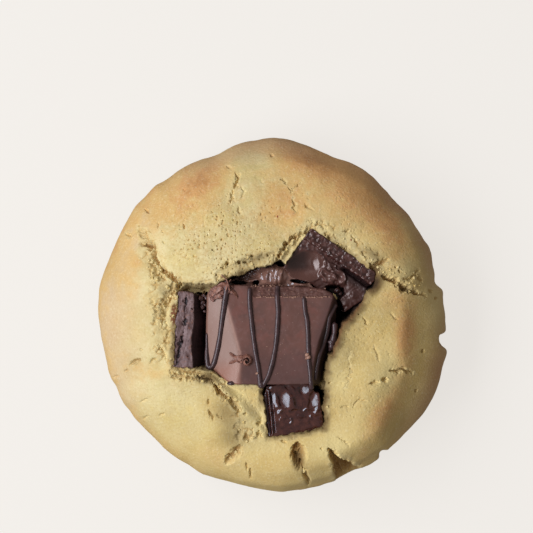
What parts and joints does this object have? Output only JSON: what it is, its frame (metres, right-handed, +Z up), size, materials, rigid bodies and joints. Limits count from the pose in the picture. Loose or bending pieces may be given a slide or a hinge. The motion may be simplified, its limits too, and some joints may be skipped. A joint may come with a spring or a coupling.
{
  "type": "chocolate-topped cookie",
  "caption": "Thick round soft-baked cookie, cracked on top, with a drizzled milk-chocolate praline segment and dark chocolate pieces pressed into its open middle.",
  "frame": {"origin": "on the flat base, under the middle of the cookie's outline box", "axes": "+Z up out of the cookie's top; +Y towards the top of the picture (north), +X towards its right (east)"},
  "size_m": [0.0886, 0.0896, 0.0308],
  "materials": {
    "dough": "matte, pale golden baked crust with browned humps",
    "milk_chocolate": "satin",
    "dark_chocolate": "partly melted, shiny in the hollow",
    "bloomed_chocolate": "dull, greyish bloom",
    "soft_chocolate": "glossy, softened",
    "melted_chocolate": "glossy, rippled"
  },
  "bodies": {
    "root": {"cookie": "dough", "praline": "milk_chocolate", "chunk_northeast": "dark_chocolate", "chunk_west": "bloomed_chocolate", "chunk_south": "soft_chocolate", "melted_chocolate": "melted_chocolate"}
  },
  "joints": []
}
